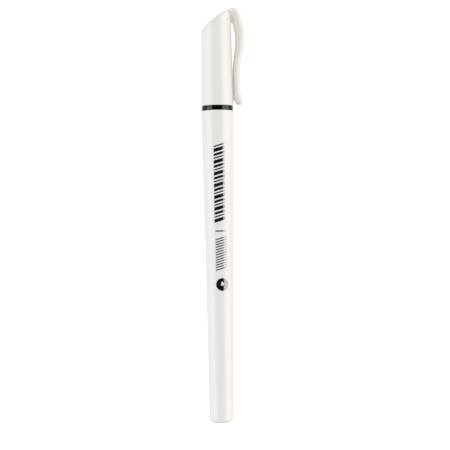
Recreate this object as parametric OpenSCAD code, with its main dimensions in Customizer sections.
// Calligraphy brush marker, standing on its tail with its cap on.
// Millimetres. +Z runs up the pen's axis, the origin is the centre of the flat tail
// face, and the pocket clip is on the +X side.

/* [Barrel] */
// Height of the barrel from the tail face to the mouth
barrel_len = 114; // [112:0.5:116]
// Radius of the barrel at the tail, before the edge is rounded
tail_r = 4.45; // [4.3:0.05:4.6]
// Radius of the barrel at the mouth
mouth_r = 5.9; // [5.85:0.05:6.1]
// How far the taper bows inwards halfway up
taper_bow = 0.12; // [0:0.02:0.2]
// Rounding of the tail's edge
tail_round = 1; // [0.6:0.1:1.2]
// Thickness of the barrel's wall
barrel_wall = 1.1; // [1:0.05:1.2]
// Thickness of the barrel's closed end
tail_floor = 1.8; // [1.4:0.1:2.2]

/* [Colour ring] */
// Height of the ring that shows between the barrel and the cap
ring_h = 1.7; // [1.4:0.1:2]
// Outer radius of the ring
ring_r = 5.71; // [5.6:0.01:5.8]

/* [Cap] */
// Outer radius of the cap at its mouth
cap_mouth_r = 5.875; // [5.85:0.005:5.9]
// How much the cap's radius shrinks for each millimetre of height
cap_taper = 0.0152; // [0.014:0.0002:0.016]
// Height of the slanted top where it meets the cap's low side
slant_low_z = 143.9; // [143.7:0.1:144.1]
// Angle of the slanted top to the horizontal
slant_angle = 35; // [34.5:0.25:35.5]
// Height of the crest, the highest point of the pen
crest_z = 151.5; // [151.4:0.1:151.6]
// Rounding of the crest
crest_round = 1.9; // [1.7:0.1:2.1]
// Thickness of the slanted top plate at the cap's edge
top_plate_t = 0.8; // [0.6:0.1:0.9]

/* [Clip] */
// Width of the clip, which is also the diameter of its rounded end
clip_w = 3.6; // [3.4:0.1:4]
// Radius of the eye that the clip turns on
eye_r = 1.2; // [1.1:0.05:1.25]

/* [Nib and ink] */
// Height of the nib's point above the tail face
nib_tip_z = 137.3; // [136:0.1:137.5]
// Radius of the nib's shank
nib_r = 1.7; // [1.5:0.05:1.75]
// Radius of the fibre reservoir
reservoir_r = 3.05; // [2.6:0.05:3.1]
// Thickness of the film around the reservoir
film_t = 0.12; // [0.08:0.01:0.15]

/* [Hidden] */
$fn = 96;

fit = 0.02;          // gap between pieces that are pressed together
run = 0.05;          // gap between pieces that slide or turn on each other
step_gap = 0.1;      // gap under the mouth of the cap
over = 1;            // how far a cutting shape passes the face that it cuts

// Barrel
taper_steps = 8;
bore_z = barrel_len - 14;       // where the mouth's straight bore begins
bore_r = 4.75;                  // the mouth's straight bore
mouth_bevel = 0.25;
rib_t = 0.9;
rib_top_z = bore_z - 4;
rib_in_r = reservoir_r + film_t + fit + 0.04;
seat_z = 11;                    // top of the ledges that the reservoir stands on
seat_in_r = 1.5;

// Grip section
ring_z = barrel_len;
flange_z = ring_z + ring_h;
flange_r = 5.08;                // the cap's mouth slides over this seat
seat_h = 5.3;
bead_z = flange_z + 2.3;        // middle of the snap bead
bead_h = 1.2;
bead_out = 0.04;
plug_r = bore_r - fit;
plug_z = bore_z + 1;
stop_z = 112;                   // shoulder that holds the top of the reservoir
stop_bore_r = 2;
seal_z = flange_z + 10.8;       // start of the nose that the inner cap seals on
seal_r = 3.35;
nose_z = flange_z + 14.3;
nose_r = 2.95;
nose_bore_r = 2.6;
holder_z = 121.5;
groove_count = 4;
groove_pitch = 1.1;
groove_depth = 0.14;

// Nib, feed and reservoir
holder_out = 0.7;               // how far the nib holder stands out of the nose
holder_flat = 0.35;             // depth of the air slots along the nib holder
belly_out = 0.15;               // how much the nib swells above its holder
feed_r = 1.4;
feed_end_z = 96;                // lower end of the feed, inside the reservoir

// Cap shell
cap_z = flange_z + step_gap;
cap_bore_r = flange_r + run + 0.01;
cap_wall = 0.85;
mouth_band_z = cap_z + 6.2;     // top of the straight bore behind the mouth
cap_ribs = 6;
cap_rib_t = 0.8;
cap_rib_z = 127.9;
liner_r = 4;                    // outside of the inner cap
liner_z = cap_rib_z - 1.1;      // mouth of the inner cap
liner_bore_r = seal_r + run;
liner_top_z = 142.6;
liner_roof = 0.6;
liner_flange_r = 4.35;
liner_groove_z = 134;
liner_groove_h = 0.8;
liner_groove_depth = 0.25;
nub_h = 0.3;
nub_out = 0.15;

// Slanted top: a straight slope, a round crest, then the clip
slant = tan(slant_angle);
cap_low_x = -(cap_mouth_r - cap_taper * (slant_low_z - cap_z));
crest_x = (crest_z - crest_round * (1 - cos(slant_angle)) - slant_low_z) / slant
    + cap_low_x + crest_round * sin(slant_angle);
ledge_x = 2;                    // where the plate's underside turns level
spigot_r = 4.5;
spigot_h = 1.1;
spigot_bore_r = 3.3;

// Clip
pivot_x = 4.2;
pivot_z = 148.2;
notch_w = clip_w + 0.2;
notch_z = 146.1;
tab_x = 5.05;                   // outer face of the tab that fills the notch
neck_h = 1.4;
root_x = tab_x + 0.12;          // inner face of the clip beside the tab
crest_gap = 0.36;               // gap that lets the crest of the clip swing back
clip_start_x = tab_x + crest_gap;
clip_end_z = 116.1;
spline_steps = 4;

// Points that the clip's outer face passes through, from the crest to its end
clip_outer = [[6, 151.5], [6.8, 151.3], [7.5, 150.8], [8.15, 150], [8.65, 149], [9.05, 148.1],
    [9.5, 146.7], [9.85, 145.1], [10.08, 143.2], [10.17, 141], [10.12, 138.7], [9.85, 136.4],
    [9.4, 134.5], [8.93, 132.5], [8.58, 130.6], [8.43, 128.2], [8.4, 125.5], [8.44, 123],
    [8.6, 121], [8.8, 119.3], [9, 117.8], [9.1, 117], [8.9, 116.35], [8.3, 116.1]];
// Points that the clip's inner face passes through, from its end to the notch
clip_inner = [[7.6, 116.2], [6.95, 116.7], [6.35, 117.45], [5.98, 118.1], [5.9, 119.2],
    [5.85, 122], [5.79, 126], [5.82, 128.8], [5.97, 130.9], [6.25, 133.2], [6.55, 135.6],
    [6.75, 138], [6.82, 140], [6.78, 141.6], [6.6, 143], [6.36, 144.4], [6.05, 145.6],
    [5.6, 146.15]];

function slant_z(x) = slant_low_z + slant * (x - cap_low_x);

// Radius of the barrel's outside at height z: a taper that bows in a little
function barrel_r(z) = let (t = z / barrel_len)
    tail_r + (mouth_r - tail_r) * t - 4 * taper_bow * t * (1 - t);

function cap_r(z) = cap_mouth_r - cap_taper * (z - cap_z);

// Points along an arc about [x, z]
function arc(x, z, r, from, to, n) =
    [for (i = [0:n]) let (a = from + (to - from) * i / n) [x + r * cos(a), z + r * sin(a)]];

// One point of a smooth curve between p1 and p2, for t from 0 to 1
function curve_point(p0, p1, p2, p3, t) =
    0.5 * (2 * p1 + (p2 - p0) * t + (2 * p0 - 5 * p1 + 4 * p2 - p3) * t * t
    + (3 * p1 - p0 - 3 * p2 + p3) * t * t * t);

// A smooth curve through every point of p
function curve(p, n) = let (last = len(p) - 1) concat(
    [for (i = [0:last - 1]) for (k = [0:n - 1])
        curve_point(p[max(i - 1, 0)], p[i], p[i + 1], p[min(i + 2, last)], k / n)],
    [p[last]]);

// A side-view outline, with x across and z up, made width thick about the y axis
module side_slab(width) {
    rotate([90, 0, 0]) linear_extrude(height = width, center = true) children();
}

// Everything above the plate's underside, lowered by drop
module above_ledge(drop) {
    side_slab(4 * cap_mouth_r) polygon([
        [-2 * cap_mouth_r, slant_z(-2 * cap_mouth_r) - top_plate_t - drop],
        [ledge_x, slant_z(ledge_x) - top_plate_t - drop],
        [2 * cap_mouth_r, slant_z(ledge_x) - top_plate_t - drop],
        [2 * cap_mouth_r, crest_z + 20],
        [-2 * cap_mouth_r, crest_z + 20]]);
}

// Everything below the top surface: the slope, then the round crest
module below_top() {
    side_slab(4 * cap_mouth_r) polygon(concat(
        [[-2 * cap_mouth_r, slant_low_z - 30], [-2 * cap_mouth_r, slant_z(-2 * cap_mouth_r)]],
        arc(crest_x, crest_z - crest_round, crest_round, 90 + slant_angle, 90, 12),
        [[2 * cap_mouth_r, crest_z], [2 * cap_mouth_r, slant_low_z - 30]]));
}

// The solid cone that the cap's outside follows
module cap_cone() {
    translate([0, 0, cap_z])
        cylinder(r1 = cap_r(cap_z), r2 = cap_r(crest_z + over), h = crest_z + over - cap_z);
}

// Closed tapered tube with four ribs that centre the reservoir
module barrel() {
    outside = [for (i = [1:taper_steps]) let (z = tail_round
        + (barrel_len - mouth_bevel - tail_round) * i / taper_steps) [barrel_r(z), z]];
    color("whitesmoke") {
        rotate_extrude() polygon(concat(
            [[0, 0]],
            arc(barrel_r(tail_round) - tail_round, tail_round, tail_round, -90, 0, 8),
            outside,
            [[mouth_r - mouth_bevel, barrel_len],
                [bore_r + mouth_bevel / 2, barrel_len],
                [bore_r, barrel_len - mouth_bevel / 2],
                [bore_r, bore_z],
                [barrel_r(bore_z) - barrel_wall, bore_z],
                [barrel_r(barrel_len / 2) - barrel_wall, barrel_len / 2],
                [barrel_r(tail_floor) - barrel_wall, tail_floor],
                [0, tail_floor]]));
        for (a = [45:90:315])
            rotate(a) barrel_rib();
    }
}

// One rib: its foot reaches in under the reservoir as a ledge
module barrel_rib() {
    root = barrel_wall / 2;
    side_slab(rib_t) polygon([
        [seat_in_r, tail_floor - root],
        [barrel_r(tail_floor) - root, tail_floor - root],
        [barrel_r(barrel_len / 2) - root, barrel_len / 2],
        [barrel_r(rib_top_z) - root, rib_top_z + 1.5],
        [rib_in_r, rib_top_z],
        [rib_in_r, seat_z],
        [seat_in_r, seat_z]]);
}

// Ring trapped between the barrel's mouth and the section's flange
module colour_ring() {
    edge = 0.12;
    color("black") rotate_extrude() polygon([
        [plug_r + fit, ring_z],
        [ring_r - edge, ring_z],
        [ring_r, ring_z + edge],
        [ring_r, flange_z - edge],
        [ring_r - edge, flange_z],
        [plug_r + fit, flange_z]]);
}

// Front section: a plug in the barrel, a seat for the cap, a tapered grip and a nose
module grip_section() {
    grip_z = flange_z + seat_h;
    grip_r = flange_r - 0.18;
    grip_end_r = 3.75;
    color("white") difference() {
        rotate_extrude() polygon([
            [reservoir_r + film_t + 0.1, plug_z],
            [plug_r - 0.3, plug_z],
            [plug_r, plug_z + 0.6],
            [plug_r, flange_z],
            [flange_r, flange_z],
            [flange_r, bead_z - bead_h / 2],
            [flange_r + bead_out, bead_z - bead_h / 6],
            [flange_r + bead_out, bead_z + bead_h / 6],
            [flange_r, bead_z + bead_h / 2],
            [flange_r, grip_z],
            [grip_r, grip_z + 0.18],
            [grip_end_r, seal_z - 0.5],
            [seal_r, seal_z],
            [seal_r, nose_z - 0.5],
            [nose_r, nose_z],
            [nose_bore_r + fit, nose_z],
            [nose_bore_r + fit, holder_z],
            [stop_bore_r, holder_z],
            [stop_bore_r, stop_z],
            [reservoir_r + film_t + 0.1, stop_z]]);
        // Shallow rings that the fingers grip
        for (i = [0:groove_count - 1])
            let (z = grip_z + 0.9 + i * groove_pitch,
                r = grip_r + (grip_end_r - grip_r) * (z - grip_z) / (seal_z - grip_z))
                translate([0, 0, z]) rotate_extrude()
                    translate([r + groove_depth, 0]) circle(r = 2 * groove_depth, $fn = 24);
    }
}

// Tube that holds the nib in the nose, with four air slots along it
module nib_holder() {
    top_z = nose_z + holder_out;
    color("dimgray") difference() {
        rotate_extrude() polygon([
            [nib_r + fit, holder_z + 0.05],
            [nose_bore_r, holder_z + 0.05],
            [nose_bore_r, nose_z],
            [nose_bore_r - 0.25, top_z],
            [nib_r + fit, top_z]]);
        for (a = [0:90:270])
            rotate(a) translate([nose_bore_r - holder_flat, -0.4, holder_z - over])
                cube([over, 0.8, nose_z - holder_z + 2 * over]);
    }
}

// Fibre brush nib: a shank in the holder and a tip that swells, then tapers to a point
module brush_nib() {
    base_z = nose_z + holder_out;
    tip_h = nib_tip_z - base_z;
    shank_z = holder_z + 0.1;
    color("black") rotate_extrude() polygon(concat(
        [[0, shank_z], [nib_r, shank_z], [nib_r, base_z]],
        [for (i = [1:11]) let (t = i / 12)
            [(nib_r + belly_out * sin(180 * min(1, 3 * t))) * pow(1 - t, 0.62)
                * (1 + 0.35 * t), base_z + tip_h * t]],
        [[0, nib_tip_z]]));
}

// Wick that carries ink from the reservoir to the nib
module feed_rod() {
    color("darkslategray") translate([0, 0, feed_end_z])
        cylinder(r = feed_r, h = holder_z + 0.08 - feed_end_z);
}

// Fibre rod soaked with ink, bored at the top for the feed
module ink_reservoir() {
    color("midnightblue") difference() {
        translate([0, 0, seat_z + fit])
            cylinder(r = reservoir_r, h = stop_z - seat_z - 2 * fit);
        translate([0, 0, feed_end_z - fit])
            cylinder(r = feed_r + fit, h = stop_z - feed_end_z + over);
    }
}

// Clear film wrapped round the reservoir
module reservoir_sleeve() {
    color("lightsteelblue") difference() {
        translate([0, 0, seat_z + fit])
            cylinder(r = reservoir_r + film_t, h = stop_z - seat_z - 2 * fit);
        translate([0, 0, seat_z - over])
            cylinder(r = reservoir_r + fit, h = stop_z - seat_z + 2 * over);
    }
}

// Liner that seals on the section's nose and keeps the nib wet
module inner_cap() {
    groove_r = liner_r - liner_groove_depth;
    taper_r = liner_bore_r - 0.15;
    color("gainsboro") rotate_extrude() polygon([
        [0, liner_top_z - liner_roof],
        [taper_r, liner_top_z - liner_roof],
        [taper_r, nose_z + 1.2],
        [liner_bore_r, nose_z + 0.4],
        [liner_bore_r, liner_z + 0.2],
        [liner_bore_r + 0.2, liner_z],
        [liner_flange_r, liner_z],
        [liner_flange_r, cap_rib_z - run],
        [liner_r, cap_rib_z - run],
        [liner_r, liner_groove_z - liner_groove_h / 2],
        [groove_r, liner_groove_z - liner_groove_h / 2],
        [groove_r, liner_groove_z + liner_groove_h / 2],
        [liner_r, liner_groove_z + liner_groove_h / 2],
        [liner_r, liner_top_z - 0.4],
        [liner_r - 0.4, liner_top_z],
        [0, liner_top_z]]);
}

// Tapered shell of the cap, cut off along the slanted top, with a notch for the clip
module cap_shell() {
    top_z = crest_z + over;
    edge = 0.15;
    color("whitesmoke") difference() {
        union() {
            rotate_extrude() polygon([
                [cap_bore_r + edge, cap_z],
                [cap_r(cap_z) - edge, cap_z],
                [cap_r(cap_z + edge), cap_z + edge],
                [cap_r(top_z), top_z],
                [cap_r(top_z) - cap_wall, top_z],
                [cap_r(mouth_band_z + 1) - cap_wall, mouth_band_z + 1],
                [cap_bore_r, mouth_band_z],
                [cap_bore_r, bead_z + bead_h],
                [cap_bore_r + 0.1, bead_z + bead_h / 2],
                [cap_bore_r + 0.1, bead_z - bead_h / 2],
                [cap_bore_r, bead_z - bead_h],
                [cap_bore_r, cap_z + edge]]);
            for (i = [0:cap_ribs - 1])
                rotate(30 + i * 360 / cap_ribs) cap_rib();
        }
        above_ledge(fit);
        translate([spigot_bore_r, -notch_w / 2, notch_z])
            cube([cap_mouth_r, notch_w, crest_z]);
    }
}

// One rib that guides the inner cap, with a nub that snaps into its groove
module cap_rib() {
    in_r = liner_r + run;
    top_z = liner_top_z - 1;
    side_slab(cap_rib_t) polygon([
        [in_r, cap_rib_z],
        [cap_r(cap_rib_z) - cap_wall / 2, cap_rib_z],
        [cap_r(top_z) - cap_wall / 2, top_z],
        [in_r, top_z],
        [in_r, liner_groove_z + nub_h / 2],
        [in_r - nub_out, liner_groove_z + nub_h / 6],
        [in_r - nub_out, liner_groove_z - nub_h / 6],
        [in_r, liner_groove_z - nub_h / 2]]);
}

// Slanted top plate with a spigot in the shell and a socket for the clip's eye
module cap_top() {
    block_x = 2.4;
    block_w = 6.4;
    tab_w = notch_w - 2 * fit;
    color("whitesmoke") difference() {
        union() {
            intersection() {
                cap_cone();
                below_top();
                above_ledge(0);
            }
            difference() {
                intersection() {
                    cylinder(r = spigot_r, h = crest_z);
                    above_ledge(spigot_h);
                    below_top();
                }
                difference() {
                    cylinder(r = spigot_bore_r, h = crest_z);
                    above_ledge(0.2);
                }
            }
            intersection() {
                cylinder(r = spigot_r, h = crest_z - over);
                translate([block_x, -block_w / 2, notch_z + run])
                    cube([spigot_r, block_w, pivot_z - notch_z + 1]);
            }
            translate([block_x, -tab_w / 2, notch_z + run])
                cube([tab_x - block_x, tab_w, pivot_z - notch_z + 1]);
        }
        // Flat behind the clip, and the socket
        translate([tab_x, -notch_w / 2, notch_z])
            cube([over, notch_w, crest_z]);
        translate([pivot_x, 0, pivot_z]) rotate([90, 0, 0])
            cylinder(r = eye_r + run, h = notch_w, center = true);
    }
}

// Arched pocket clip, thick and round ended, on an eye in the cap's top
module clip() {
    color("whitesmoke") {
        intersection() {
            side_slab(clip_w) polygon(concat(
                [[clip_start_x, crest_z - crest_round
                    + sqrt(crest_round * crest_round - pow(clip_start_x - crest_x, 2))]],
                curve(clip_outer, spline_steps),
                curve(clip_inner, spline_steps),
                [[root_x, notch_z + 0.15], [root_x, pivot_z + neck_h / 2]]));
            rotate([90, 0, 90]) linear_extrude(height = 4 * cap_mouth_r) union() {
                translate([-clip_w / 2, clip_end_z + clip_w / 2])
                    square([clip_w, crest_z]);
                translate([0, clip_end_z + clip_w / 2]) circle(d = clip_w);
            }
        }
        translate([pivot_x, 0, pivot_z]) rotate([90, 0, 0])
            cylinder(r = eye_r, h = clip_w, center = true);
        translate([pivot_x, -clip_w / 2, pivot_z - neck_h / 2])
            cube([root_x - pivot_x + 0.3, clip_w, neck_h]);
    }
}

barrel();
colour_ring();
grip_section();
nib_holder();
brush_nib();
feed_rod();
ink_reservoir();
reservoir_sleeve();
inner_cap();
cap_shell();
cap_top();
clip();
